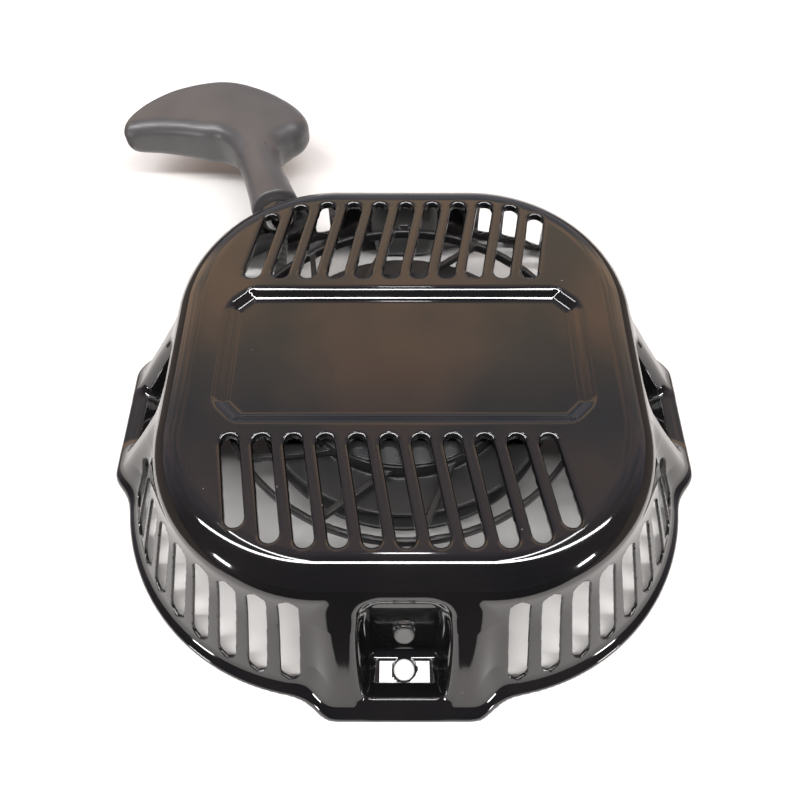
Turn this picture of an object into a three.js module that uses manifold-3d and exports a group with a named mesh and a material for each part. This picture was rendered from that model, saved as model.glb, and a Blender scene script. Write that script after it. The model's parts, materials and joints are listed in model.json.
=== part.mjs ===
// Recoil starter for a large single-cylinder engine: pressed steel cover, rope reel, spring,
// pawls, ratchet guide, rope and pull handle.
// Millimetres, +Z up. The origin is on the crank axis in the mounting plane, which is also the
// end face of the centre bolt's head. -Y is the front ear, the rope leaves at the back left.

import * as THREE from 'three';
import { mergeVertices } from 'three/addons/utils/BufferGeometryUtils.js';
import Module from 'manifold-3d';

const wasm = await Module();
wasm.setup();

// ---------------------------------------------------------------- driving dimensions

const SHEET = 1.5; // thickness of the cover's steel
const GAP = 0.3; // clearance between pieces that touch

const COVER_HEIGHT = 56;
const CORNER_CENTRE = 27.6; // every plan outline is a square whose corner arcs are centred here
const FLANGE_HALF = 111.6; // half side of the out-turned rim
const SKIRT_FOOT_HALF = 109.8; // half side of the skirt where it meets the rim
const SKIRT_TOP_HALF = 89.3; // half side where the skirt turns into the top fillet
const SKIRT_TOP_Z = 43;
// The fillet between skirt and top, as [half side, z] pairs from the skirt inwards.
const FILLET_OUTER = [[88.5, 47.2], [86.6, 51], [83.2, 53.9], [78.2, 55.5], [73.5, COVER_HEIGHT]];
const FILLET_INNER = [[87, 46.6], [85.3, 50], [82.4, 52.5], [77.8, 54], [73.4, COVER_HEIGHT - SHEET]];

const EAR_REACH = 120; // outer edge of each ear
const EAR_HALF_WIDTH = 27;
const EAR_SHOULDER = 34;
const BOLT_CIRCLE_RADIUS = 102.5;
const BOLT_HOLE_RADIUS = 3.7;
const BOSS_HALF_WIDTH = 25.5;
const BOSS_TOP_Z = 44.5;
const BOSS_FOOT = 116.5; // distance of the boss's face from the axis at the rim
const POCKET_HALF_WIDTH = 15;
const POCKET_MOUTH_HALF_WIDTH = 17.5;
const POCKET_BACK_FOOT = 96;
const POCKET_BACK_TOP = 89.4;
const POCKET_CORNER = 5;
const POCKET_LIP_Z = 3.2;
const DRAIN_HOLE_RADIUS = 2.5;
const DRAIN_HOLE_Z = 25;

const LABEL_HALF = [69, 31];
const LABEL_CHAMFER = 8.5;
const LABEL_DEPTH = 3.3;
const LABEL_STEP = 6.5; // width of the sloped step round the recess

const TOP_SLOTS_EACH_SIDE = 5; // slots to the left and to the right of the middle one
const TOP_SLOT_PITCH = 11;
const TOP_SLOT_WIDTH = 6.6;
const TOP_SLOT_SLANT = 0.176;
const TOP_SLOT_SHIFT = -2.2;
const TOP_SLOT_INNER = 35.3;
const TOP_SLOT_OUTER = [75.4, 75.4, 75.4, 75.4, 73.8, 68.6]; // by distance from the middle slot
const TOP_SLOT_MIDDLE = 55.5;

const SKIRT_SLOTS_PER_QUARTER = 9;
const SKIRT_SLOT_WIDTH = 7;
const SKIRT_SLOT_FOOT_Z = 6;
const SKIRT_SLOT_FOOT_ANGLE = 20.7; // degrees from the ear's direction
const SKIRT_SLOT_FOOT_PITCH = 6.03;
const SKIRT_SLOT_TOP_ANGLE = 23;
const SKIRT_SLOT_TOP_PITCH = 6.3;
const SKIRT_SLOT_TOP_DROP = 0.28;
const SLOTS_LEFT_OUT_AT_GUIDE = [1, 2, 3];

const PULL_ANGLE = 19.3; // degrees that the rope leans from +Y towards -X
const ROPE_Z = 30;
const ROPE_RADIUS = 2.5;
const ROPE_COLOUR = 0x2e2d2c;
const GUIDE_FACE = [-58.9, 94.5]; // centre of the guide turret's face
const TURRET_RADIUS = 9.7;
const GUIDE_BORE_RADIUS = 3.4;

const POST_RADIUS = 9;
const POST_END_Z = 15.1;
const POST_FLANGE_RADIUS = 22; // welded under the recess's floor
const POST_FLANGE_THICKNESS = 1.6;
const POST_BORE_END_Z = 32;
const SPRING_NOTCH_HALF = 1.2; // the recoil spring's inner end hooks in here
const REEL_BORE_RADIUS = 10.3;
const REEL_HUB_RADIUS = 14;
const REEL_HUB_END_Z = 15.2;
const DRUM_INNER_RADIUS = 41;
const DRUM_RADIUS = 44;
const DRUM_FOOT_Z = 19;
const DRUM_TOP_Z = 47.5;
const REEL_FLOOR = [34, 36.5];
const GROOVE = [26.5, 38]; // inner faces of the two rope flanges
const FLANGE_RADIUS = 58.5;
const FLANGE_THICKNESS = 2;
const HOOP_RADIUS = [68.4, 70.5];
const HOOP_Z = [41.5, 46];
const HOOP_SPOKES = 12;
const HOOP_SPOKE_HALF = 1.1; // half a spoke's width
const HOOP_SPOKE_START = 25; // degrees from +X of the first spoke's inner end
const HOOP_SPOKE_SLANT = 21; // degrees that a spoke advances on its way out
const DRUM_RIBS = 6;
const DRUM_RIB_HALF = 1.2;
const ROPE_LAYER_RADII = [46.6, 51.5]; // two layers, two turns in each
const KNOT_ANGLE = 75; // degrees from +X of the hole where the rope's inner end goes through the drum

const SPRING_TURNS = 8;
const SPRING_RADII = [10.6, 39.5];
const SPRING_HALF_THICKNESS = 0.5;


const PAWL_PIVOT_RADIUS = 27;
const PAWL_SWING = 28; // degrees
const GUIDE_TURN = 30; // degrees that swing the pawls fully out
const PAWL_PIN = [-2.5, -12.5]; // cam pin, from the pivot
const PAWL_PIN_RADIUS = 1.6;
const PAWL_Z = [10.2, 15.2];
const PAWL_BOSS_RADIUS = 3.5;
const RATCHET_PLATE_RADIUS = 37.2;
const RATCHET_PLATE_Z = [7.2, 9.6];
const GUIDE_WINDOW_RADIUS = 6;
const GUIDE_WINDOW_OFFSET = 22; // of each window's centre from the axis, along Y
const GUIDE_COLLAR_RADIUS = 9;
const GUIDE_COLLAR_TOP = 13;
const FRICTION_SPRING_RADII = [9.4, 11];
const BOLT_RADIUS = 4;
const BOLT_HEAD_RADIUS = 7.5; // over the hexagon's corners
const BOLT_HEAD_HEIGHT = 5;

const GRIP_THICKNESS = 25;
const GRIP_EDGE = [6, 8]; // rounding of the grip's edges, across and along Z
const GRIP_END = [56, 29]; // how far the grip reaches to the left and to the right of the rope
const GRIP_END_TAPER = 0.27; // share of the thickness lost at either end
const STEM_BORE_RADIUS = 3.2;
const STEM_START = 2.3; // gap between the guide's face and the stem's end
const STEM_HALF_WIDTH = 10.4; // at its end
const STEM_CORNER = 6.6;
const KNOT_POCKET_RADIUS = 6.6;
const KNOT_SEAT = 71.5; // distance of the knot's seat from the guide's face

// ---------------------------------------------------------------- small helpers

const radians = THREE.MathUtils.degToRad;
const pullDirection = new THREE.Vector3(-Math.sin(radians(PULL_ANGLE)), Math.cos(radians(PULL_ANGLE)), 0);
const pullSide = new THREE.Vector3(-pullDirection.y, pullDirection.x, 0); // to the left of the pull
const guideFace = new THREE.Vector3(GUIDE_FACE[0], GUIDE_FACE[1], ROPE_Z);

// A closed geometry as a manifold solid, with its faces turned outwards.
function solid(geometry) {
  const bare = geometry.clone();
  bare.deleteAttribute('normal');
  bare.deleteAttribute('uv');
  const merged = mergeVertices(bare, 1e-4);
  const index = merged.index.array;
  const kept = [];
  for (let i = 0; i < index.length; i += 3) {
    const [a, b, c] = [index[i], index[i + 1], index[i + 2]];
    if (a !== b && b !== c && c !== a) kept.push(a, b, c);
  }
  const vertProperties = merged.attributes.position.array;
  const build = (triVerts) => new wasm.Manifold(new wasm.Mesh({ numProp: 3, vertProperties, triVerts }));
  const made = build(new Uint32Array(kept));
  if (made.volume() > 0) return made;
  for (let i = 0; i < kept.length; i += 3) [kept[i + 1], kept[i + 2]] = [kept[i + 2], kept[i + 1]];
  return build(new Uint32Array(kept));
}

function geometryOf(manifold) {
  const mesh = manifold.getMesh();
  const geometry = new THREE.BufferGeometry();
  const positions = new Float32Array(mesh.numVert * 3);
  for (let i = 0; i < mesh.numVert; i += 1) {
    for (let k = 0; k < 3; k += 1) positions[3 * i + k] = mesh.vertProperties[mesh.numProp * i + k];
  }
  geometry.setAttribute('position', new THREE.BufferAttribute(positions, 3));
  geometry.setIndex(Array.from(mesh.triVerts));
  geometry.computeVertexNormals();
  return geometry;
}

const union = (solids) => solids.reduce((sum, next) => sum.add(next));

// A plan outline ([x, y] pairs) raised from z0 to z1.
function prism(outline, z0, z1, holes = []) {
  const shape = new THREE.Shape(outline.map(([x, y]) => new THREE.Vector2(x, y)));
  shape.holes = holes.map((hole) => new THREE.Path(hole.map(([x, y]) => new THREE.Vector2(x, y))));
  const geometry = new THREE.ExtrudeGeometry(shape, { depth: z1 - z0, bevelEnabled: false });
  return solid(geometry.translate(0, 0, z0));
}

// A closed stack of outlines, each a list of [x, y] with the same number of points. `stretch`
// multiplies a point's height.
function loft(levels, stretch = () => 1) {
  const count = levels[0].outline.length;
  const positions = [];
  for (const { outline, z } of levels) for (const [x, y] of outline) positions.push(x, y, z * stretch(x, y));
  const index = [];
  for (let level = 0; level + 1 < levels.length; level += 1) {
    for (let i = 0; i < count; i += 1) {
      const a = level * count + i;
      const b = level * count + (i + 1) % count;
      index.push(a, b, b + count, a, b + count, a + count);
    }
  }
  const cap = (level, flip) => {
    const contour = levels[level].outline.map(([x, y]) => new THREE.Vector2(x, y));
    for (const [a, b, c] of THREE.ShapeUtils.triangulateShape(contour, [])) {
      const first = level * count;
      index.push(first + a, first + (flip ? c : b), first + (flip ? b : c));
    }
  };
  cap(0, true);
  cap(levels.length - 1, false);
  const geometry = new THREE.BufferGeometry();
  geometry.setAttribute('position', new THREE.Float32BufferAttribute(positions, 3));
  geometry.setIndex(index);
  return solid(geometry);
}

// A [radius, z] profile turned round the Z axis.
function turned(profile, segments) {
  const points = profile.map(([r, z]) => new THREE.Vector2(r, z));
  if (profile[0][0] > 0) points.push(points[0].clone());
  return solid(new THREE.LatheGeometry(points, segments).rotateX(Math.PI / 2));
}

const ringProfile = (inner, outer, z0, z1) => [[inner, z0], [outer, z0], [outer, z1], [inner, z1]];

// A cylinder standing on the plane z0.
function rod(radius, z0, z1, segments, x = 0, y = 0) {
  const geometry = new THREE.CylinderGeometry(radius, radius, z1 - z0, segments).rotateX(Math.PI / 2);
  return solid(geometry.translate(x, y, (z0 + z1) / 2));
}

// A solid made along +Z, laid along the pull: its z becomes distance from the guide's face.
function alongPull(made) {
  const basis = new THREE.Matrix4().makeBasis(pullSide, new THREE.Vector3(0, 0, 1), pullDirection);
  return made.transform(basis.setPosition(guideFace).elements);
}

function roundedSquare(half, stepsPerCorner = 6) {
  const radius = half - CORNER_CENTRE;
  const outline = [];
  for (const [sx, sy, start] of [[1, 1, 0], [-1, 1, 90], [-1, -1, 180], [1, -1, 270]]) {
    for (let i = 0; i <= stepsPerCorner; i += 1) {
      const angle = radians(start + 90 * i / stepsPerCorner);
      const [x, y] = [radius * Math.cos(angle), radius * Math.sin(angle)];
      outline.push([sx * CORNER_CENTRE + x, sy * CORNER_CENTRE + y]);
    }
  }
  return outline;
}

const skirtSlope = (SKIRT_FOOT_HALF - SKIRT_TOP_HALF) / (SKIRT_TOP_Z - SHEET);
const skirtHalf = (z) => SKIRT_FOOT_HALF - skirtSlope * (z - SHEET);
const skirtWall = SHEET / Math.cos(Math.atan(skirtSlope)); // the sheet measured horizontally

// The skirt's outer surface in the direction `angle`, counted from +Y towards +X.
function skirtPoint(angle, z) {
  const [s, c] = [Math.sin(angle), Math.cos(angle)];
  const half = skirtHalf(z);
  const radius = half - CORNER_CENTRE;
  const middle = CORNER_CENTRE * (s + c);
  const reach = middle + Math.sqrt(middle ** 2 - 2 * CORNER_CENTRE ** 2 + radius ** 2);
  return new THREE.Vector3(reach * s, reach * c, z);
}

function mesh(name, made, colour, roughness, metalness) {
  const material = new THREE.MeshStandardMaterial({ color: colour, roughness, metalness });
  const piece = new THREE.Mesh(geometryOf(made), material);
  piece.name = name;
  return piece;
}

// ---------------------------------------------------------------- cover

// Outline of the ear's boss at one height: a shallow trapezium that grows out of the skirt.
function bossOutline(z, inset) {
  const face = BOSS_FOOT - (BOSS_FOOT - SKIRT_TOP_HALF) * (z - SHEET) / (BOSS_TOP_Z - SHEET) - inset;
  const skirt = skirtHalf(z) - inset;
  const flare = Math.max(face - skirt, 0.4);
  const half = BOSS_HALF_WIDTH - inset;
  const root = skirt - 6;
  const side = [[half + flare, root], [half + flare, skirt - 0.2], [half, skirt + flare]];
  return [...side, ...side.toReversed().map(([x, y]) => [-x, y])];
}

function boss(inset, z0, z1) {
  return loft([z0, z1].map((z) => ({ outline: bossOutline(z, inset), z })));
}

// The pocket pressed into the boss, grown by `wall` on every side.
function pocket(wall) {
  const backAt = (z) => POCKET_BACK_FOOT - (POCKET_BACK_FOOT - POCKET_BACK_TOP) * z / BOSS_TOP_Z - wall;
  const level = (z, narrower) => {
    const back = POCKET_HALF_WIDTH + wall - narrower;
    const mouth = POCKET_MOUTH_HALF_WIDTH + wall - narrower;
    const front = EAR_REACH + 5;
    return { z, outline: [[-back, backAt(z)], [back, backAt(z)], [mouth, front], [-mouth, front]] };
  };
  const foot = wall > 0 ? -2 : POCKET_LIP_Z;
  const top = BOSS_TOP_Z + wall;
  const upper = loft([level(foot, 1), level(top - POCKET_CORNER, 0), level(top, POCKET_CORNER)]);
  if (wall > 0) return upper;
  const low = POCKET_HALF_WIDTH - 1;
  const back = backAt(SHEET);
  const floor = [[-low, back], [low, back], [low, 109], [-low, 109]];
  return upper.add(prism(floor, SHEET, POCKET_LIP_Z + 0.5));
}

function earPlate() {
  const shoulder = [[EAR_SHOULDER + 2, 105], [EAR_SHOULDER, 111], [28.5, 115]];
  const right = [...shoulder, [EAR_HALF_WIDTH, 118.5], [EAR_HALF_WIDTH - 1.5, EAR_REACH]];
  return prism([...right, ...right.toReversed().map(([x, y]) => [-x, y])], 0, SHEET);
}

function chamferedRectangle(halfX, halfY, chamfer) {
  const corner = [[halfX, halfY - chamfer], [halfX - chamfer, halfY]];
  const right = [[halfX, chamfer - halfY], ...corner];
  const outline = [...right, [chamfer - halfX, halfY], [-halfX, halfY - chamfer], [-halfX, chamfer - halfY]];
  return [...outline, [chamfer - halfX, -halfY], [halfX - chamfer, -halfY]];
}

// The label's recess: wider at the top, `grow` mm larger all round for the sheet below it.
function labelRecess(grow, top) {
  const floorZ = COVER_HEIGHT - LABEL_DEPTH - grow;
  const rimZ = COVER_HEIGHT - grow;
  const at = (extra) => chamferedRectangle(LABEL_HALF[0] + extra, LABEL_HALF[1] + extra, LABEL_CHAMFER);
  const levels = [{ outline: at(grow - LABEL_STEP), z: floorZ }, { outline: at(grow), z: rimZ }];
  return loft([...levels, { outline: at(grow), z: top }]);
}

function topSlot(index, side) {
  const outer = TOP_SLOT_OUTER[Math.abs(index)];
  const radius = TOP_SLOT_WIDTH / 2;
  const middleX = (y) => TOP_SLOT_PITCH * index + TOP_SLOT_SHIFT + TOP_SLOT_SLANT * (y - TOP_SLOT_MIDDLE);
  const outline = [];
  const arc = (y, start) => {
    for (let i = 0; i <= 4; i += 1) {
      const angle = radians(start + 45 * i);
      outline.push([middleX(y) + radius * Math.cos(angle), side * (y + radius * Math.sin(angle))]);
    }
  };
  arc(outer - radius, 0);
  arc(TOP_SLOT_INNER + radius, 180);
  return prism(side > 0 ? outline : outline.toReversed(), COVER_HEIGHT - 8, COVER_HEIGHT + 3);
}

// One skirt slot of the quarter between +Y and +X, as a hexagonal bar through the sheet.
function skirtSlot(index) {
  const foot = skirtPoint(radians(SKIRT_SLOT_FOOT_ANGLE + SKIRT_SLOT_FOOT_PITCH * index), SKIRT_SLOT_FOOT_Z);
  const topZ = SKIRT_TOP_Z - SKIRT_SLOT_TOP_DROP * index ** 2;
  const top = skirtPoint(radians(SKIRT_SLOT_TOP_ANGLE + SKIRT_SLOT_TOP_PITCH * index), topZ);
  const rise = top.clone().sub(foot);
  const length = rise.length();
  const along = rise.normalize();
  const outward = new THREE.Vector3(along.y, -along.x, 0).cross(along).normalize();
  if (outward.dot(foot) < 0) outward.negate();
  const across = along.clone().cross(outward);
  const half = SKIRT_SLOT_WIDTH / 2;
  const point = half * 0.7; // length of the slot's pointed ends
  const right = [[0, 0], [half, point], [half, length - point]];
  const outline = [...right, [0, length], [-half, length - point], [-half, point]];
  const basis = new THREE.Matrix4().makeBasis(across, along, outward).setPosition(foot);
  return prism(outline, -7, 7).transform(basis.elements);
}

function cover() {
  const outerLevels = [[skirtHalf(0), 0], [SKIRT_TOP_HALF, SKIRT_TOP_Z], ...FILLET_OUTER];
  const innerFoot = [skirtHalf(-1) - skirtWall, -1];
  const innerLevels = [innerFoot, [SKIRT_TOP_HALF - skirtWall, SKIRT_TOP_Z], ...FILLET_INNER];
  const stack = (levels) => loft(levels.map(([half, z]) => ({ outline: roundedSquare(half), z })));
  const quarters = [0, 1, 2, 3];
  const turn = (made, quarter) => made.rotate([0, 0, 90 * quarter]);
  const around = (made) => quarters.map((quarter) => turn(made, quarter));

  const turret = alongPull(rod(TURRET_RADIUS, -25, 0, 24));
  const turretHollow = alongPull(rod(TURRET_RADIUS - SHEET, -30, -SHEET, 24));
  const rim = prism(roundedSquare(FLANGE_HALF), 0, SHEET);
  const ears = union([boss(0, 0, BOSS_TOP_Z), earPlate()]);
  const outside = union([stack(outerLevels), rim, turret, ...around(ears)]);

  let hollow = union([stack(innerLevels), ...around(boss(SHEET * 1.1, -1, BOSS_TOP_Z))]);
  for (const pressed of around(pocket(SHEET))) hollow = hollow.subtract(pressed);
  hollow = hollow.subtract(labelRecess(SHEET, COVER_HEIGHT)).add(turretHollow);

  let shell = outside.subtract(hollow).subtract(labelRecess(0, COVER_HEIGHT + 2));
  const bolt = rod(BOLT_HOLE_RADIUS, -1, SHEET + 1, 20, 0, BOLT_CIRCLE_RADIUS);
  const drain = rod(DRAIN_HOLE_RADIUS, -100, -80, 12).rotate([90, 0, 0]).translate([0, 0, DRAIN_HOLE_Z]);
  const cuts = [...around(union([pocket(0), bolt, drain]))];
  for (let index = -TOP_SLOTS_EACH_SIDE; index <= TOP_SLOTS_EACH_SIDE; index += 1) {
    cuts.push(topSlot(index, 1), topSlot(index, -1));
  }
  for (let index = 0; index < SKIRT_SLOTS_PER_QUARTER; index += 1) {
    const slot = skirtSlot(index);
    cuts.push(slot, slot.mirror([0, 1, 0]), slot.mirror([0, 1, 0]).mirror([1, 0, 0]));
    if (!SLOTS_LEFT_OUT_AT_GUIDE.includes(index)) cuts.push(slot.mirror([1, 0, 0]));
  }
  cuts.push(alongPull(rod(GUIDE_BORE_RADIUS + 2.1, -5, 5, 20)));
  for (const cut of cuts) shell = shell.subtract(cut);
  return mesh('housing_cover', shell, 0x0b0b0c, 0.18, 0);
}

// ---------------------------------------------------------------- post, bush and centre bolt

function centrePost() {
  const flangeTop = COVER_HEIGHT - LABEL_DEPTH - SHEET - GAP;
  const flangeFoot = flangeTop - POST_FLANGE_THICKNESS;
  const bore = BOLT_RADIUS + GAP;
  const lower = [[0, POST_BORE_END_Z], [bore, POST_BORE_END_Z], [bore, POST_END_Z], [POST_RADIUS, POST_END_Z]];
  const flange = [[POST_FLANGE_RADIUS, flangeFoot], [POST_FLANGE_RADIUS, flangeTop], [0, flangeTop]];
  const profile = [...lower, [POST_RADIUS, flangeFoot], ...flange];
  const half = SPRING_NOTCH_HALF;
  const notch = prism([[-half, 6.5], [half, 6.5], [half, 12], [-half, 12]], 38, flangeFoot);
  return mesh('centre_post', turned(profile, 24).subtract(notch), 0x9a9a98, 0.4, 1);
}

function reelBush() {
  const [z0, z1] = [REEL_HUB_END_Z + 0.2, REEL_FLOOR[1] - 0.2];
  const sleeve = ringProfile(POST_RADIUS + GAP, REEL_BORE_RADIUS - GAP, z0, z1);
  return mesh('reel_bush', turned(sleeve, 24), 0xb99a55, 0.35, 1);
}

function thrustWasher() {
  return mesh('thrust_washer', turned(ringProfile(BOLT_RADIUS + 0.5, 16, 13.3, 14.8), 24), 0xa8a8a6, 0.35, 1);
}

function centreBolt() {
  const head = rod(BOLT_HEAD_RADIUS, 0, BOLT_HEAD_HEIGHT, 6);
  return mesh('centre_bolt', head.add(rod(BOLT_RADIUS, 4, 30, 16)), 0xb3a56a, 0.35, 1);
}

function boltWasher() {
  return mesh('bolt_washer', turned(ringProfile(BOLT_RADIUS + 0.4, 8.6, 5.3, 6.9), 20), 0xb3a56a, 0.35, 1);
}

// ---------------------------------------------------------------- reel and spring

// A slanted spoke between the drum and the hoop, as a straight bar.
function hoopSpoke(index) {
  const start = radians(HOOP_SPOKE_START + 360 / HOOP_SPOKES * index);
  const end = start - radians(HOOP_SPOKE_SLANT);
  const from = new THREE.Vector2(Math.cos(start), Math.sin(start)).multiplyScalar(DRUM_RADIUS - 1.5);
  const to = new THREE.Vector2(Math.cos(end), Math.sin(end)).multiplyScalar(HOOP_RADIUS[0] + 1);
  const ahead = to.clone().sub(from).normalize().multiplyScalar(HOOP_SPOKE_HALF);
  const side = new THREE.Vector2(-ahead.y, ahead.x);
  const near = [from.clone().sub(side), to.clone().sub(side)];
  const corners = [...near, to.clone().add(side), from.clone().add(side)];
  return prism(corners.map((p) => [p.x, p.y]), HOOP_Z[0] + 0.5, HOOP_Z[1] - 0.5);
}

function ropeReel() {
  const [inner, outer] = [DRUM_INNER_RADIUS, DRUM_RADIUS];
  const [floor, floorTop] = REEL_FLOOR;
  const hubEnd = [[REEL_BORE_RADIUS, REEL_HUB_END_Z], [REEL_HUB_RADIUS, REEL_HUB_END_Z]];
  const wall = [[REEL_HUB_RADIUS, floor], [inner, floor], [inner, DRUM_FOOT_Z], [outer, DRUM_FOOT_Z]];
  const flange = (z0, z1) => [[DRUM_RADIUS, z0], [FLANGE_RADIUS, z0], [FLANGE_RADIUS, z1], [DRUM_RADIUS, z1]];
  const lower = flange(GROOVE[0] - FLANGE_THICKNESS, GROOVE[0]);
  const upper = flange(GROOVE[1], GROOVE[1] + FLANGE_THICKNESS);
  const cup = [[outer, DRUM_TOP_Z], [inner, DRUM_TOP_Z], [inner, floorTop], [REEL_BORE_RADIUS, floorTop]];
  const body = turned([...hubEnd, ...wall, ...lower, ...upper, ...cup], 40);
  const pieces = [body, turned(ringProfile(...HOOP_RADIUS, ...HOOP_Z), 40)];
  for (let i = 0; i < HOOP_SPOKES; i += 1) pieces.push(hoopSpoke(i));
  const [ribStart, ribEnd] = [REEL_HUB_RADIUS - 1, DRUM_INNER_RADIUS + 1];
  for (let i = 0; i < DRUM_RIBS; i += 1) {
    const half = DRUM_RIB_HALF;
    const rib = prism([[ribStart, -half], [ribEnd, -half], [ribEnd, half], [ribStart, half]], 20, 35);
    pieces.push(rib.rotate([0, 0, 360 / DRUM_RIBS * i]));
  }
  for (const x of [-PAWL_PIVOT_RADIUS, PAWL_PIVOT_RADIUS]) {
    pieces.push(rod(6, DRUM_FOOT_Z, 35, 16, x), rod(PAWL_BOSS_RADIUS, RATCHET_PLATE_Z[1] + 0.4, 20, 16, x));
  }
  const knotHole = rod(ROPE_RADIUS + 0.5, 35, 50, 12).rotate([0, 90, 0]).translate([0, 0, ROPE_Z]);
  const made = union(pieces).subtract(knotHole.rotate([0, 0, KNOT_ANGLE]));
  return mesh('rope_reel', made, 0x1a1a1b, 0.5, 0);
}

function springCover() {
  const disc = ringProfile(POST_RADIUS + 1.5, DRUM_RADIUS - 0.5, DRUM_TOP_Z + GAP, DRUM_TOP_Z + GAP + 1);
  return mesh('spring_cover', turned(disc, 32), 0x141414, 0.45, 0.3);
}

function recoilSpring() {
  const steps = 14 * SPRING_TURNS;
  const [inner, outer] = SPRING_RADII;
  const at = (i, offset) => {
    const angle = 2 * Math.PI * SPRING_TURNS * i / steps;
    const radius = inner + (outer - inner) * i / steps + offset;
    return [radius * Math.cos(angle), radius * Math.sin(angle)];
  };
  const outline = [];
  for (let i = 0; i <= steps; i += 1) outline.push(at(i, SPRING_HALF_THICKNESS));
  for (let i = steps; i >= 0; i -= 1) outline.push(at(i, -SPRING_HALF_THICKNESS));
  return mesh('recoil_spring', prism(outline, REEL_FLOOR[1] + 0.5, DRUM_TOP_Z - 0.6), 0x6d7076, 0.3, 1);
}

// ---------------------------------------------------------------- pawls and ratchet guide

function turnedBy([x, y], angle) {
  const [s, c] = [Math.sin(angle), Math.cos(angle)];
  return [x * c - y * s, x * s + y * c];
}

// One pawl, made at the pivot on +X; its tip points clockwise, the way that the reel is pulled.
function pawl(number) {
  const heel = [];
  for (let i = 0; i <= 6; i += 1) heel.push(turnedBy([6.2, 0], radians(-10 + 200 * i / 6)));
  const blade = [[-5.2, -8], [-4.6, -14.5], [-1.2, -19.5], [3, -20.5], [5.6, -13], [6.3, -6]];
  const hole = [];
  for (let i = 0; i < 16; i += 1) hole.push(turnedBy([PAWL_BOSS_RADIUS + GAP, 0], -2 * Math.PI * i / 16));
  const body = prism([...heel, ...blade], ...PAWL_Z, [hole]);
  const pin = rod(PAWL_PIN_RADIUS, RATCHET_PLATE_Z[0] + 0.4, PAWL_Z[0] + 1, 12, ...PAWL_PIN);
  const made = body.add(pin).translate([PAWL_PIVOT_RADIUS, 0, 0]).rotate([0, 0, 180 * (number - 1)]);
  return mesh(`pawl_${number}`, made, 0x8e8f90, 0.35, 1);
}

// The return spring on the pawl's pivot: two coils and two short legs.
function pawlSpring(number) {
  const wave = [[5.6, 16.2], [5.3, 16.9], [5.6, 17.6]];
  const coils = turned([[4.1, 15.7], [5.3, 15.7], ...wave, [5.3, 18.3], [4.1, 18.3]], 16);
  const innerLeg = prism([[-4.6, 0], [-3.8, 0], [-3.8, 9], [-4.6, 9]], 17.3, 18.1);
  const outerLeg = prism([[3.9, -9], [4.7, -9], [4.7, 0], [3.9, 0]], 15.8, 16.6);
  const made = union([coils, innerLeg, outerLeg]).translate([PAWL_PIVOT_RADIUS, 0, 0]);
  return mesh(`pawl_spring_${number}`, made.rotate([0, 0, 180 * (number - 1)]), 0xb8b9ba, 0.25, 1);
}

// Path of the pawl's cam pin, seen from the ratchet guide, as the guide turns by `share` of its range.
function camPoint(share) {
  const [x, y] = turnedBy(PAWL_PIN, radians(PAWL_SWING) * share);
  return turnedBy([PAWL_PIVOT_RADIUS + x, y], -radians(GUIDE_TURN) * share);
}

function camSlot() {
  const steps = 6;
  const half = PAWL_PIN_RADIUS + 0.55;
  const left = [];
  const right = [];
  for (let i = 0; i <= steps; i += 1) {
    const here = new THREE.Vector2(...camPoint(i / steps));
    const ahead = new THREE.Vector2(...camPoint(i / steps + 0.02)).sub(here).normalize();
    const extend = i === 0 ? -half : i === steps ? half : 0;
    const middle = here.clone().addScaledVector(ahead, extend);
    const side = new THREE.Vector2(-ahead.y, ahead.x).multiplyScalar(half);
    left.push([middle.x + side.x, middle.y + side.y]);
    right.unshift([middle.x - side.x, middle.y - side.y]);
  }
  return prism([...right, ...left], RATCHET_PLATE_Z[0] - 1, RATCHET_PLATE_Z[1] + 1);
}

function ratchetGuide() {
  const [foot, top] = RATCHET_PLATE_Z;
  const bore = BOLT_RADIUS + 0.5;
  const profile = [[bore, foot], [RATCHET_PLATE_RADIUS, foot], [RATCHET_PLATE_RADIUS, top]];
  const collar = [[GUIDE_COLLAR_RADIUS, top], [GUIDE_COLLAR_RADIUS, GUIDE_COLLAR_TOP]];
  const plate = turned([...profile, ...collar, [bore, GUIDE_COLLAR_TOP]], 36);
  const window = rod(GUIDE_WINDOW_RADIUS, foot - 1, top + 1, 16, 0, GUIDE_WINDOW_OFFSET);
  const cuts = union([camSlot(), window]);
  const made = plate.subtract(cuts).subtract(cuts.rotate([0, 0, 180]));
  return mesh('ratchet_guide', made, 0xa9a07c, 0.4, 1);
}

// An open ring of flat wire that rubs on the guide's collar.
function frictionSpring() {
  const [inner, outer] = FRICTION_SPRING_RADII;
  const outline = [];
  const arc = (radius, i) => outline.push(turnedBy([radius, 0], radians(15 + 330 * i / 20)));
  for (let i = 0; i <= 20; i += 1) arc(outer, i);
  for (let i = 20; i >= 0; i -= 1) arc(inner, i);
  return mesh('friction_spring', prism(outline, 10.2, 12.6), 0x85878a, 0.3, 1);
}

// ---------------------------------------------------------------- rope and guide

const leaveRadius = ROPE_LAYER_RADII[1];
const guideInlet = guideFace.clone().addScaledVector(pullDirection, -9);

// The point where the rope leaves the drum, on the -X side.
function ropeLeave() {
  const distance = Math.hypot(guideInlet.x, guideInlet.y);
  const angle = Math.atan2(guideInlet.y, guideInlet.x) + Math.acos(leaveRadius / distance);
  return new THREE.Vector3(leaveRadius * Math.cos(angle), leaveRadius * Math.sin(angle), ROPE_Z + 2.5);
}

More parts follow.
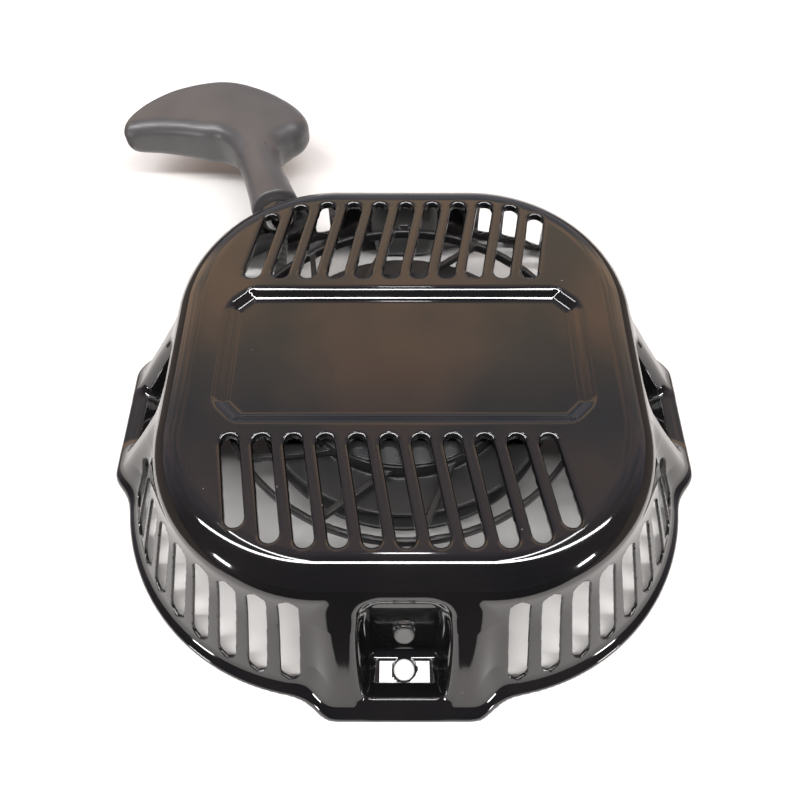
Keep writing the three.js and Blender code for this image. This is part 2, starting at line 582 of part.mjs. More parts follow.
// A round bar along a curve.
function cord(points, radius, sides, steps) {
  const section = new THREE.Shape();
  for (let i = 0; i < sides; i += 1) {
    const [x, y] = turnedBy([radius, 0], 2 * Math.PI * i / sides);
    if (i === 0) section.moveTo(x, y);
    else section.lineTo(x, y);
  }
  const path = points.length === 2 ? new THREE.LineCurve3(...points) : new THREE.CatmullRomCurve3(points);
  return solid(new THREE.ExtrudeGeometry(section, { steps, extrudePath: path, bevelEnabled: false }));
}

function ropeCoil() {
  const outer = ROPE_LAYER_RADII[0] + ROPE_RADIUS;
  const ring = ringProfile(DRUM_RADIUS + GAP, outer, GROOVE[0] + 0.5, GROOVE[1] - 0.5);
  return mesh('rope_coil', turned(ring, 32), ROPE_COLOUR, 0.9, 0);
}

// The stretch that slides through the cover's guide.
function ropeRun() {
  const leave = ropeLeave();
  const straight = guideInlet.clone().sub(leave).normalize();
  const points = [leave.clone().addScaledVector(straight, 6)];
  for (const share of [0.35, 0.65, 0.9]) points.push(leave.clone().lerp(guideInlet, share));
  for (const from of [-6, -3, 0.9]) points.push(guideFace.clone().addScaledVector(pullDirection, from));
  return mesh('rope_run', cord(points, ROPE_RADIUS, 10, 14), ROPE_COLOUR, 0.9, 0);
}

function ropeInHandle() {
  const ends = [1.3, KNOT_SEAT + 1.6].map((from) => guideFace.clone().addScaledVector(pullDirection, from));
  return mesh('rope_in_handle', cord(ends, ROPE_RADIUS, 10, 4), ROPE_COLOUR, 0.9, 0);
}

function ropeKnot() {
  const z = KNOT_SEAT + 1.9;
  const bulges = [[5.6, z + 2.4], [5, z + 5], [5.6, z + 7.6]];
  const profile = [[0, z], [3.4, z], ...bulges, [3.6, z + 10.6], [0, z + 11]];
  return mesh('rope_knot', alongPull(turned(profile, 12)), ROPE_COLOUR, 0.9, 0);
}

function reelKnot() {
  const lump = [[0, 30.5], [3.2, 31], [4.3, 34], [3.4, 37.5]];
  const profile = [...lump, [ROPE_RADIUS, 38], [ROPE_RADIUS, 43.7], [0, 43.7]];
  const made = turned(profile, 12).rotate([0, 90, 0]).translate([0, 0, ROPE_Z - 0.5]);
  return mesh('reel_knot', made.rotate([0, 0, KNOT_ANGLE]), ROPE_COLOUR, 0.9, 0);
}

function ropeGuide() {
  const flange = 7.6;
  const sleeve = GUIDE_BORE_RADIUS + 1.7;
  const back = -SHEET - GAP;
  const bore = GUIDE_BORE_RADIUS;
  const inside = [[bore, -3.6], [bore + 1, -4.6], [flange - 1, -3.6], [flange - 1, back]];
  const lip = [[flange, GAP], [flange, 1.2], [bore + 0.9, 1.9], [bore, 1.1]];
  const outside = [[sleeve, back], [sleeve, GAP], ...lip];
  return mesh('rope_guide', alongPull(turned([...inside, ...outside], 20)), 0xbfc0c0, 0.3, 1);
}

// ---------------------------------------------------------------- handle

// Control points of the grip's outline: [distance along the pull, distance to its left].
const GRIP_OUTLINE = [
  [14, -10], [29, -9.6], [37.5, -11.5], [42, -18], [44.5, -24.5], [49.5, -28.8], [56, -29.3], [65, -25.5],
  [78.5, -14.5], [89.5, 3.2], [91, 28], [84, 49], [77, 56], [71, 54.5], [67.5, 43], [61, 31.5], [55, 22.5],
  [51, 14.5], [43, 10.6], [29, 9.9], [14, 10],
];

// The outline moved inwards by `inset`, point by point.
function insetOutline(outline, inset) {
  const count = outline.length;
  return outline.map(([x, y], i) => {
    const [before, after] = [outline[(i + count - 1) % count], outline[(i + 1) % count]];
    const tangent = new THREE.Vector2(after[0] - before[0], after[1] - before[1]).normalize();
    return [x - tangent.y * inset, y + tangent.x * inset];
  });
}

// Share of the grip's full thickness that is left `v` mm from the rope's line: the ends are thinner.
function gripTaper(v) {
  const end = v > 0 ? GRIP_END[0] : GRIP_END[1];
  return 1 - GRIP_END_TAPER * (v / end) ** 2;
}

// A moulding with elliptical edges, centred on z = 0.
function moulding(outline, thickness, [across, along]) {
  const levels = [];
  for (const side of [-1, 1]) {
    for (let i = 0; i <= 3; i += 1) {
      const angle = radians(30 * (side < 0 ? 3 - i : i));
      const z = side * (thickness / 2 - along + along * Math.sin(angle));
      levels.push({ z, outline: insetOutline(outline, across * (1 - Math.cos(angle))) });
    }
  }
  return loft(levels, (u, v) => gripTaper(v));
}

function handleGrip() {
  const curve = new THREE.SplineCurve(GRIP_OUTLINE.map(([u, v]) => new THREE.Vector2(u, v)));
  const outline = [];
  for (const side of [1, -1]) {
    for (let i = 0; i <= 3; i += 1) {
      const [x, y] = turnedBy([STEM_CORNER, 0], radians(side > 0 ? 90 + 30 * i : 180 + 30 * i));
      outline.push([STEM_START + STEM_CORNER + x, side * (STEM_HALF_WIDTH - STEM_CORNER) + y]);
    }
  }
  for (const point of curve.getSpacedPoints(42)) outline.push([point.x, point.y]);
  const basis = new THREE.Matrix4().makeBasis(pullDirection, pullSide, new THREE.Vector3(0, 0, 1));
  const made = moulding(outline, GRIP_THICKNESS, GRIP_EDGE).transform(basis.setPosition(guideFace).elements);
  const bore = alongPull(rod(STEM_BORE_RADIUS, 0, KNOT_SEAT + 1, 12));
  const knotPocket = alongPull(rod(KNOT_POCKET_RADIUS, KNOT_SEAT, 120, 16));
  return mesh('handle_grip', made.subtract(bore).subtract(knotPocket), 0x3a393b, 0.6, 0);
}

function gripReinforcement() {
  const plate = ringProfile(STEM_BORE_RADIUS, KNOT_POCKET_RADIUS - GAP, KNOT_SEAT + GAP, KNOT_SEAT + 1.5);
  return mesh('grip_reinforcement', alongPull(turned(plate, 16)), 0xa8a8a6, 0.35, 1);
}

// ---------------------------------------------------------------- assembly

const fixed = new THREE.Group();
fixed.add(cover(), centrePost(), ropeGuide(), ropeRun(), thrustWasher(), frictionSpring(), boltWasher());
fixed.add(centreBolt());

const reel = new THREE.Group();
reel.add(ropeReel(), reelBush(), recoilSpring(), springCover(), ropeCoil(), reelKnot(), pawlSpring(1));
reel.add(pawlSpring(2), pawl(1), pawl(2), ratchetGuide());

const handle = new THREE.Group();
handle.add(handleGrip(), gripReinforcement(), ropeInHandle(), ropeKnot());

const group = new THREE.Group();
group.add(fixed, reel, handle);

export default group;
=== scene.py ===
"""Recoil starter: the finished surfaces, materials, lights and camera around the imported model.

Lengths in the shape functions are millimetres, as in the CAD; meshes are scaled to metres.
A rounded solid is written as a distance field: a function of points that is negative inside.
"""

import json
import math

import bmesh
import bpy
import numpy as np
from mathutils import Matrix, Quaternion, Vector

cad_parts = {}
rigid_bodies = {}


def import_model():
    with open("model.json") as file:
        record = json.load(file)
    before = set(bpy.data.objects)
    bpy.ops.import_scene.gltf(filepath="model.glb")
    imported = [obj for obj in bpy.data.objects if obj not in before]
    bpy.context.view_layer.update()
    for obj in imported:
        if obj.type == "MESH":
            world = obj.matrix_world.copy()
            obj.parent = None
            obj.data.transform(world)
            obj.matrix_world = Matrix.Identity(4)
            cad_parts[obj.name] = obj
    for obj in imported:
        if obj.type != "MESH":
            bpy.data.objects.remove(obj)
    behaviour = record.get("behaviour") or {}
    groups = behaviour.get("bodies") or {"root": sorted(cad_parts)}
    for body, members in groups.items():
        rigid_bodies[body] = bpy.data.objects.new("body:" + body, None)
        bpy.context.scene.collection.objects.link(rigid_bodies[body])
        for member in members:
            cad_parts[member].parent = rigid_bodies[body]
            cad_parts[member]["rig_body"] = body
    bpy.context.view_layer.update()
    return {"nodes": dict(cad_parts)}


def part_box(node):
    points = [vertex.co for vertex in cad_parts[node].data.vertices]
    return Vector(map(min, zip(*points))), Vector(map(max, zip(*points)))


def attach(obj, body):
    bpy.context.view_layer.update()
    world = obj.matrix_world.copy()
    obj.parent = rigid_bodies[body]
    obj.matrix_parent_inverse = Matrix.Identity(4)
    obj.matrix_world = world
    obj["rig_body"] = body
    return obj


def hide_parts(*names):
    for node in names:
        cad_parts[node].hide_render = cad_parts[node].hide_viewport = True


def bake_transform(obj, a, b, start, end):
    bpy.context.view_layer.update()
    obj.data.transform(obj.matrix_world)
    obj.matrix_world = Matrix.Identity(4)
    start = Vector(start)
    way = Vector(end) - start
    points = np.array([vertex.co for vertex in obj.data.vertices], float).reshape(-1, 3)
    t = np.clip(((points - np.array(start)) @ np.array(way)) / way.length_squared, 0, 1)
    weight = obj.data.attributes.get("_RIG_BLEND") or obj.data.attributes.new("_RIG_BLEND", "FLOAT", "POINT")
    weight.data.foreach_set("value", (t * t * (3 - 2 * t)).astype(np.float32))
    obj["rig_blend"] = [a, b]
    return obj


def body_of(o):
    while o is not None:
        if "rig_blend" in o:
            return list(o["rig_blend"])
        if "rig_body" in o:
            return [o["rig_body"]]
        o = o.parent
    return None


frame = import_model()

MM = 0.001

# ------------------------------------------------------------------ sizes, millimetres
SHEET = 1.5
HEIGHT = 56.0
CORNER = 27.6            # corner centres of every square outline
RIM_HALF = 111.6
SKIRT_FOOT = 109.8
SKIRT_SLOPE = 0.494
LID_HALF = 89.0
LID_RADIUS = 12.5
EAR_REACH = 120.0
PLATE_ROUND = 0.5        # rounding of the rim's edges
BOLT_CIRCLE = 102.5
BOLT_HOLE = 3.7
DRAIN_HOLE = (2.5, 25.0)  # radius and height
BOSS_FOOT = 118.2        # a boss's face, from the axis at the rim
BOSS_SLOPE = 0.64
BOSS_HALF = 29.5
BOSS_TOP = 51.5
POCKET_TOP = 44.5
POCKET_HALF = 15.0
POCKET_BACK = 96.0
POCKET_BACK_SLOPE = 0.148
PULL_ANGLE = math.radians(19.3)
PULL = np.array([-math.sin(PULL_ANGLE), math.cos(PULL_ANGLE), 0.0])
PULL_SIDE = np.array([-PULL[1], PULL[0], 0.0])
GUIDE = np.array([-58.9, 94.5, 30.0])  # middle of the rope guide's outer face
TURRET_RADIUS = 9.7
TURRET_BORE = 5.6
ROPE_RADIUS = 2.5
KNOT_SEAT = 71.5
TAU = 2 * math.pi
FAR = 1e3                # stands for "no surface near"


# ------------------------------------------------------------------ distance fields
def rounded_max(a, b, radius):
    """Common part of two solids, its convex edge rounded."""
    corner = np.hypot(np.maximum(a + radius, 0), np.maximum(b + radius, 0))
    return np.minimum(-radius, np.maximum(a, b)) + corner


def blended_min(a, b, width):
    """Two solids joined, the hollow edge between them filled over about `width`."""
    share = np.maximum(width - np.abs(a - b), 0)
    return np.minimum(a, b) - share * share / (4 * width)


def ring_field(r, z, inner, outer, z0, z1, radius=0.4):
    """A ring round the Z axis with a rectangular section."""
    across = np.abs(r - (inner + outer) / 2) - (outer - inner) / 2
    along = np.abs(z - (z0 + z1) / 2) - (z1 - z0) / 2
    return rounded_max(across, along, radius)


def bar_field(x, y, start, end, half):
    """Plan distance to a straight bar with round ends."""
    dx, dy = end[0] - start[0], end[1] - start[1]
    share = np.clip(((x - start[0]) * dx + (y - start[1]) * dy) / (dx * dx + dy * dy), 0, 1)
    return np.hypot(x - start[0] - share * dx, y - start[1] - share * dy) - half


def grid_values(field, low, shape, step, block=8):
    """The field on a grid, worked out in full only in the blocks that the surface crosses."""
    blocks = [-(-n // block) for n in shape]
    values = np.empty([b * block + 1 for b in blocks], np.float32)
    corners = np.stack(np.meshgrid(*[np.arange(b) for b in blocks], indexing="ij"), -1).reshape(-1, 3)
    middle = low + (corners + 0.5) * block * step
    coarse = field(*middle.T)
    reach = block * step * 0.87 * 1.35
    local = np.stack(np.meshgrid(*[np.arange(block + 1)] * 3, indexing="ij"), -1)
    for corner, value in zip(corners[np.abs(coarse) > reach], coarse[np.abs(coarse) > reach]):
        i, j, k = corner * block
        values[i:i + block + 1, j:j + block + 1, k:k + block + 1] = value
    near = corners[np.abs(coarse) <= reach] * block
    for first in range(0, len(near), 400):
        some = near[first:first + 400]
        index = some[:, None, None, None, :] + local
        points = low + index.reshape(-1, 3) * step
        found = field(*points.T).astype(np.float32)
        flat = index.reshape(-1, 3)
        values[flat[:, 0], flat[:, 1], flat[:, 2]] = found
    return values


def field_slope(field, points, delta=0.02):
    """The field's gradient at each point, by central differences."""
    slope = np.empty_like(points)
    for axis in range(3):
        shift = np.zeros(3)
        shift[axis] = delta
        slope[:, axis] = (field(*(points + shift).T) - field(*(points - shift).T)) / (2 * delta)
    return slope


CELL_CORNERS = np.array([(i, j, k) for i in (0, 1) for j in (0, 1) for k in (0, 1)])
CELL_EDGES = [
    (a, b) for a in range(8) for b in range(a + 1, 8)
    if np.abs(CELL_CORNERS[a] - CELL_CORNERS[b]).sum() == 1
]


def skin(name, field, low, high, step, polish=3):
    """A closed quad mesh on the field's zero surface, with the field's own normals."""
    low = np.array(low, float) - 1.5 * step
    shape = np.ceil((np.array(high, float) + 1.5 * step - low) / step).astype(int)
    values = grid_values(field, low, shape, step)
    inside = values < 0
    size = np.array(values.shape) - 1
    count = np.zeros(size, np.int8)
    for i, j, k in CELL_CORNERS:
        count += inside[i:i + size[0], j:j + size[1], k:k + size[2]]
    cells = np.argwhere((count > 0) & (count < 8))
    number = np.full(size, -1, np.int32)
    number[tuple(cells.T)] = np.arange(len(cells))
    corner_values = np.stack([values[tuple((cells + c).T)] for c in CELL_CORNERS], 1)
    total = np.zeros((len(cells), 3))
    crossings = np.zeros(len(cells))
    for a, b in CELL_EDGES:
        va, vb = corner_values[:, a], corner_values[:, b]
        crosses = (va < 0) != (vb < 0)
        share = np.where(crosses, va / np.where(crosses, va - vb, 1), 0)
        point = CELL_CORNERS[a] + share[:, None] * (CELL_CORNERS[b] - CELL_CORNERS[a])
        total += point * crosses[:, None]
        crossings += crosses
    points = low + (cells + total / crossings[:, None]) * step
    for _ in range(polish):
        slope = field_slope(field, points)
        squared = np.maximum((slope ** 2).sum(1), 0.2)
        move = -(field(*points.T) / squared)[:, None] * slope
        length = np.linalg.norm(move, axis=1)
        points = points + move * np.minimum(1, 0.35 * step / np.maximum(length, 1e-9))[:, None]
    normals = field_slope(field, points)
    normals /= np.maximum(np.linalg.norm(normals, axis=1), 1e-9)[:, None]
    faces = []
    for axis in range(3):
        other = [a for a in range(3) if a != axis]
        first = np.take(inside, range(size[axis]), axis)
        second = np.take(inside, range(1, size[axis] + 1), axis)
        edges = np.argwhere(first != second)
        edges = edges[(edges[:, other] > 0).all(1) & (edges[:, other] < size[other]).all(1)]
        leaving = first[tuple(edges.T)]
        around = []
        for du, dv in ((1, 1), (0, 1), (0, 0), (1, 0)):
            cell = edges.copy()
            cell[:, other[0]] -= du
            cell[:, other[1]] -= dv
            around.append(number[tuple(cell.T)])
        quad = np.stack(around, 1)
        flip = leaving if axis == 1 else ~leaving
        quad[flip] = quad[flip][:, ::-1]
        faces.append(quad)
    return mesh_object(name, points, np.concatenate(faces), normals)


def mesh_object(name, points, faces, normals=None):
    """An object made of points (mm) and faces of equal length."""
    faces = np.asarray(faces, np.int32)
    mesh = bpy.data.meshes.new(name)
    mesh.vertices.add(len(points))
    mesh.vertices.foreach_set("co", (np.asarray(points) * MM).astype(np.float32).ravel())
    mesh.loops.add(faces.size)
    mesh.loops.foreach_set("vertex_index", faces.ravel())
    mesh.polygons.add(len(faces))
    mesh.polygons.foreach_set("loop_start", np.arange(0, faces.size, faces.shape[1], dtype=np.int32))
    mesh.update(calc_edges=True)
    mesh.validate()
    mesh.polygons.foreach_set("use_smooth", np.ones(len(mesh.polygons), bool))
    if normals is not None and len(mesh.vertices) == len(normals):
        mesh.normals_split_custom_set_from_vertices(normals.astype(np.float32))
    made = bpy.data.objects.new(name, mesh)
    bpy.context.scene.collection.objects.link(made)
    return made


def finish_piece(made, body, look, slot, *nodes):
    """Gives a piece its material, its CAD body and the nodes that it stands for."""
    made.data.materials.clear()
    made.data.materials.append(look)
    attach(made, body)
    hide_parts(*nodes)
    return made


# ------------------------------------------------------------------ materials
class Look:
    """A node material built on one Principled shader."""

    def __init__(self, name):
        self.material = bpy.data.materials.new(name)
        self.material.use_nodes = True
        self.tree = self.material.node_tree
        self.shader = self.tree.nodes["Principled BSDF"]
        self.place = self.node("ShaderNodeTexCoord").outputs["Object"]

    def node(self, kind, **settings):
        made = self.tree.nodes.new(kind)
        for key, value in settings.items():
            setattr(made, key, value)
        return made

    def join(self, source, target):
        self.tree.links.new(source, target)

    def noise(self, scale, detail=3.0, stretch=None):
        made = self.node("ShaderNodeTexNoise")
        made.inputs["Scale"].default_value = scale
        made.inputs["Detail"].default_value = detail
        source = self.place
        if stretch:
            mapping = self.node("ShaderNodeMapping")
            mapping.inputs["Scale"].default_value = stretch
            self.join(source, mapping.inputs["Vector"])
            source = mapping.outputs["Vector"]
        self.join(source, made.inputs["Vector"])
        return made.outputs["Fac"]

    def ramp(self, source, stops):
        """A colour ramp; stops are (position, (r, g, b))."""
        made = self.node("ShaderNodeValToRGB")
        elements = made.color_ramp.elements
        while len(elements) < len(stops):
            elements.new(0.5)
        for element, (position, colour) in zip(elements, stops):
            element.position = position
            element.color = (*colour, 1)
        self.join(source, made.inputs["Fac"])
        return made.outputs["Color"]

    def span(self, source, low, high, start=0.3, end=0.7):
        made = self.node("ShaderNodeMapRange")
        made.inputs["From Min"].default_value = start
        made.inputs["From Max"].default_value = end
        made.inputs["To Min"].default_value = low
        made.inputs["To Max"].default_value = high
        self.join(source, made.inputs["Value"])
        return made.outputs["Result"]

    def sum(self, first, second, operation="ADD"):
        made = self.node("ShaderNodeMath", operation=operation)
        self.join(first, made.inputs[0])
        if isinstance(second, (int, float)):
            made.inputs[1].default_value = second
        else:
            self.join(second, made.inputs[1])
        return made.outputs["Value"]

    def bump(self, source, distance, strength=1.0):
        made = self.node("ShaderNodeBump")
        made.inputs["Distance"].default_value = distance
        made.inputs["Strength"].default_value = strength
        self.join(source, made.inputs["Height"])
        self.join(made.outputs["Normal"], self.shader.inputs["Normal"])

    def set(self, **values):
        for key, value in values.items():
            self.shader.inputs[key.replace("_", " ")].default_value = value


def gloss_paint():
    """Black stoved enamel: faint orange peel, a little dust, slightly uneven gloss."""
    look = Look("gloss_black_paint")
    dust = look.node("ShaderNodeTexVoronoi")
    dust.inputs["Scale"].default_value = 170
    look.join(look.place, dust.inputs["Vector"])
    speck = look.sum(dust.outputs["Distance"], 0.045, "LESS_THAN")
    sparse = look.sum(look.noise(60, 1), 0.57, "GREATER_THAN")
    dusty = look.sum(speck, sparse, "MULTIPLY")
    mix = look.node("ShaderNodeMix", data_type="RGBA")
    look.join(dusty, mix.inputs["Factor"])
    tint = look.ramp(look.noise(25, 2), [(0.35, (0.0035, 0.0034, 0.0038)), (0.65, (0.006, 0.0055, 0.0055))])
    look.join(tint, mix.inputs["A"])
    mix.inputs["B"].default_value = (0.10, 0.10, 0.10, 1)
    look.join(mix.outputs["Result"], look.shader.inputs["Base Color"])
    look.join(look.span(look.noise(40, 4), 0.035, 0.09), look.shader.inputs["Roughness"])
    look.bump(look.noise(300, 1), 0.0001, 0.05)
    look.set(IOR=1.6)
    return look.material


def moulded_plastic(name, dark, light, roughness, grain=2200, depth=0.00004):
    """Filled plastic with a fine spark-eroded grain."""
    look = Look(name)
    look.join(look.ramp(look.noise(45, 5), [(0.3, dark), (0.7, light)]), look.shader.inputs["Base Color"])
    uneven = look.span(look.noise(120, 4), roughness - 0.06, roughness + 0.08)
    look.join(uneven, look.shader.inputs["Roughness"])
    look.bump(look.noise(grain, 2), depth, 0.6)
    look.set(IOR=1.48)
    return look.material


def bare_metal(name, dark, light, roughness, stretch=(1, 1, 30)):
    """Turned, drawn or plated steel with fine working marks and a few dull patches."""
    look = Look(name)
    look.join(look.ramp(look.noise(90, 4), [(0.35, dark), (0.68, light)]), look.shader.inputs["Base Color"])
    marks = look.noise(260, 3, stretch)
    look.join(look.span(marks, roughness - 0.07, roughness + 0.1), look.shader.inputs["Roughness"])
    look.bump(marks, 0.00003, 0.35)
    look.set(Metallic=1.0)
    return look.material


def rope_fibre():
    """Braided polyester, charcoal with darker hollows between the strands."""
    look = Look("braided_polyester")
    look.join(look.ramp(look.noise(500, 4), [(0.3, (0.016, 0.015, 0.015)), (0.7, (0.04, 0.038, 0.036))]),
              look.shader.inputs["Base Color"])
    look.join(look.span(look.noise(900, 2), 0.72, 0.95), look.shader.inputs["Roughness"])
    look.bump(look.noise(3500, 3, (1, 1, 0.3)), 0.0001, 0.6)
    look.set(Sheen_Weight=0.25, Sheen_Roughness=0.5)
    return look.material


LOOKS = {
    "cover_paint": gloss_paint(),
    "grip_plastic": moulded_plastic("soft_grip_plastic", (0.047, 0.045, 0.047), (0.064, 0.061, 0.062), 0.34),
    "reel_plastic": moulded_plastic("black_nylon", (0.010, 0.010, 0.011), (0.02, 0.019, 0.019), 0.42),
    "cover_disc": moulded_plastic("black_coated_disc", (0.006, 0.006, 0.007), (0.012, 0.012, 0.012), 0.3),
    "post_steel": bare_metal("turned_steel", (0.42, 0.41, 0.40), (0.62, 0.61, 0.59), 0.34),
    "spring_steel": bare_metal("blued_spring_steel", (0.10, 0.11, 0.14), (0.24, 0.25, 0.28), 0.3),
    "wire_steel": bare_metal("bright_wire", (0.5, 0.5, 0.5), (0.72, 0.72, 0.72), 0.26),
    "zinc_steel": bare_metal("yellow_zinc", (0.52, 0.45, 0.24), (0.72, 0.66, 0.46), 0.33),
    "pawl_steel": bare_metal("hardened_steel", (0.25, 0.24, 0.24), (0.45, 0.44, 0.43), 0.4),
    "bush_bronze": bare_metal("sintered_bronze", (0.42, 0.28, 0.12), (0.62, 0.45, 0.22), 0.42),
    "guide_steel": bare_metal("polished_steel", (0.6, 0.6, 0.6), (0.78, 0.78, 0.78), 0.16),
    "rope_fibre": rope_fibre(),
}


# ------------------------------------------------------------------ cover
def square_reach(x, y):
    """Half side of the rounded square that passes through a point."""
    over_x = np.maximum(np.abs(x) - CORNER, 0)
    over_y = np.maximum(np.abs(y) - CORNER, 0)
    return CORNER + np.hypot(over_x, over_y)


def plane(a, b, a0, b0, rise):
    """Distance above a sloping plane through (a0, b0) that falls by `rise` of a for each mm of b."""
    tilt = math.hypot(1, rise)
    return (a - a0) / tilt + (b - b0) * rise / tilt


TOP_SLOTS = range(-5, 6)
TOP_SLOT_HALF = 3.2
TOP_SLOT_ENDS = (35.3, [75.4, 75.4, 75.4, 75.4, 73.8, 68.6])
TOP_SLOT_SLANT = 0.176
TOP_SLOT_PITCH = 11.0
TOP_SLOT_SHIFT = -2.2
TOP_SLOT_MIDDLE = 55.5
TOP_SLOT_DEEPEST = 44.0


def top_slot_field(x, y):
    """Plan distance to the nearest of the 22 slots in the top."""
    away = np.abs(y)
    nearest = np.full(np.shape(x), FAR)
    for index in TOP_SLOTS:
        inner = TOP_SLOT_ENDS[0] + TOP_SLOT_HALF
        outer = TOP_SLOT_ENDS[1][abs(index)] - TOP_SLOT_HALF
        centre = TOP_SLOT_PITCH * index + TOP_SLOT_SHIFT
        middle = [centre + TOP_SLOT_SLANT * (end - TOP_SLOT_MIDDLE) for end in (inner, outer)]
        slot = bar_field(x, away, (middle[0], inner), (middle[1], outer), TOP_SLOT_HALF)
        nearest = np.minimum(nearest, slot)
    return nearest


def skirt_point(angle, z):
    """A point of the skirt's outer surface, its angle counted from Y towards X."""
    s, c = math.sin(angle), math.cos(angle)
    radius = SKIRT_FOOT - SKIRT_SLOPE * (z - SHEET) - CORNER
    middle = CORNER * (s + c)
    reach = middle + math.sqrt(middle ** 2 - 2 * CORNER ** 2 + radius ** 2)
    return np.array([reach * s, reach * c, z])


SKIRT_SLOTS = range(9)     # in each quarter, counted from the front or back ear
LEFT_OUT_AT_GUIDE = (1, 2, 3)
SKIRT_SLOT_HALF = 3.4
SKIRT_SLOT_ROUND = 1.3
SKIRT_SLOT_POINT = 0.62    # slope of a slot's pointed ends
SKIRT_SLOT_TILT = 1.18     # turns that slope's rise into a distance


def slot_ends(index):
    """The foot and the top of one skirt slot, on the skirt's surface."""
    foot = skirt_point(math.radians(20.7 + 6.03 * index), 6.0)
    top = skirt_point(math.radians(23 + 6.3 * index), 43 - 0.28 * index ** 2)
    return foot, top


def skirt_slot_field(x, y, z):
    """Distance to the nearest of the skirt's slots; three are left out beside the rope guide."""
    ax, ay = np.abs(x), np.abs(y)
    at_guide = (x < 0) & (y > 0)
    nearest = np.full(np.shape(x), FAR)
    for index in SKIRT_SLOTS:
        foot, top = slot_ends(index)
        length = np.linalg.norm(top - foot)
        along = (top - foot) / length
        outward = np.cross([along[1], -along[0], 0], along)
        outward *= np.sign(outward @ foot) / np.linalg.norm(outward)
        across = np.cross(along, outward)
        dx, dy, dz = ax - foot[0], ay - foot[1], z - foot[2]
        u, v, depth = [dx * way[0] + dy * way[1] + dz * way[2] for way in (across, along, outward)]
        ends = np.abs(v - length / 2) - length / 2 + SKIRT_SLOT_POINT * np.abs(u)
        ends = ends / SKIRT_SLOT_TILT
        slot = rounded_max(np.abs(u) - SKIRT_SLOT_HALF, ends, SKIRT_SLOT_ROUND)
        slot = np.maximum(slot, np.abs(depth) - 8)
        if index in LEFT_OUT_AT_GUIDE:
            slot = np.where(at_guide, FAR, slot)
        nearest = np.minimum(nearest, slot)
    return nearest


LABEL = (69.0, 31.0)
LABEL_CHAMFER = 8.5
LABEL_STEP = 6.5
LABEL_DEPTH = 3.3


def label_drop(x, y):
    """How far the top is pressed down at the label."""
    ax, ay = np.abs(x) - LABEL[0], np.abs(y) - LABEL[1]
    edge = rounded_max(rounded_max(ax, ay, 1.0), (ax + ay + LABEL_CHAMFER) / math.sqrt(2), 3.0)
    share = np.clip(-edge / LABEL_STEP, 0, 1)
    return LABEL_DEPTH * share * share * (3 - 2 * share)


def turret_coordinates(x, y, z):
    """Distance along the pull line, to its side in plan, and from the line."""
    u = (x - GUIDE[0]) * PULL[0] + (y - GUIDE[1]) * PULL[1]
    v = (x - GUIDE[0]) * PULL_SIDE[0] + (y - GUIDE[1]) * PULL_SIDE[1]
    return u, v, np.hypot(v, z - GUIDE[2])


def boss_field(p, q, z):
    """The boss over an ear; p counts outwards from the axis and q to either side."""
    face = plane(p, z, BOSS_FOOT, SHEET, BOSS_SLOPE)
    return rounded_max(rounded_max(face, q - BOSS_HALF, 7.5), z - BOSS_TOP, 2)


def boss_blend(z):
    """Width of the hollow fillet beside a boss: nearly nothing at the lid, widest at the rim."""
    return 0.5 + 4 * np.clip((48 - z) / 14, 0, 1) + 9 * np.clip(1 - z / 14, 0, 1)


def pocket_field(p, q, z):
    """The space pressed into a boss for the bolt, its floor raised to a sill at the mouth."""
    back = plane(-p, -z, -POCKET_BACK, 0, POCKET_BACK_SLOPE)
    widest = POCKET_HALF - 0.0045 * (z - 25) ** 2
    floor = SHEET + 3.6 * np.clip((p - 107) / 6, 0, 1)
    pocket = rounded_max(rounded_max(q - widest, z - POCKET_TOP, 6), back, 3.5)
    return rounded_max(pocket, floor - z, 3.5)


def outer_field(x, y, z):
    """The cover as if it were solid, under its painted outer surface."""
    reach = square_reach(x, y)
    p = np.maximum(np.abs(x), np.abs(y))
    q = np.minimum(np.abs(x), np.abs(y))
    top = z - HEIGHT + label_drop(x, y)
    lid = rounded_max(reach - LID_HALF, top, LID_RADIUS)
    skirt = rounded_max(plane(reach, z, SKIRT_FOOT, SHEET, SKIRT_SLOPE), z - 48, 3)
    body = blended_min(lid, skirt, 7)
    body = blended_min(body, boss_field(p, q, z), boss_blend(z))
    ear_side = (q - 34.5) * 0.772 + (p - 110) * 0.636
    ear = rounded_max(ear_side, p - EAR_REACH, 4)
    plate = rounded_max(blended_min(reach - RIM_HALF, ear, 5), z - SHEET, PLATE_ROUND)
    body = rounded_max(blended_min(body, plate, 5), p - EAR_REACH, 1)
    u, _, radial = turret_coordinates(x, y, z)
    turret = rounded_max(radial - TURRET_RADIUS, np.maximum(u, -26 - u), 1.4)
    body = blended_min(body, turret, 8)
    body = rounded_max(body, -pocket_field(p, q, z), 4.4)
    slot = np.maximum(top_slot_field(x, y), TOP_SLOT_DEEPEST - z)
    return rounded_max(body, -slot, 1.5)


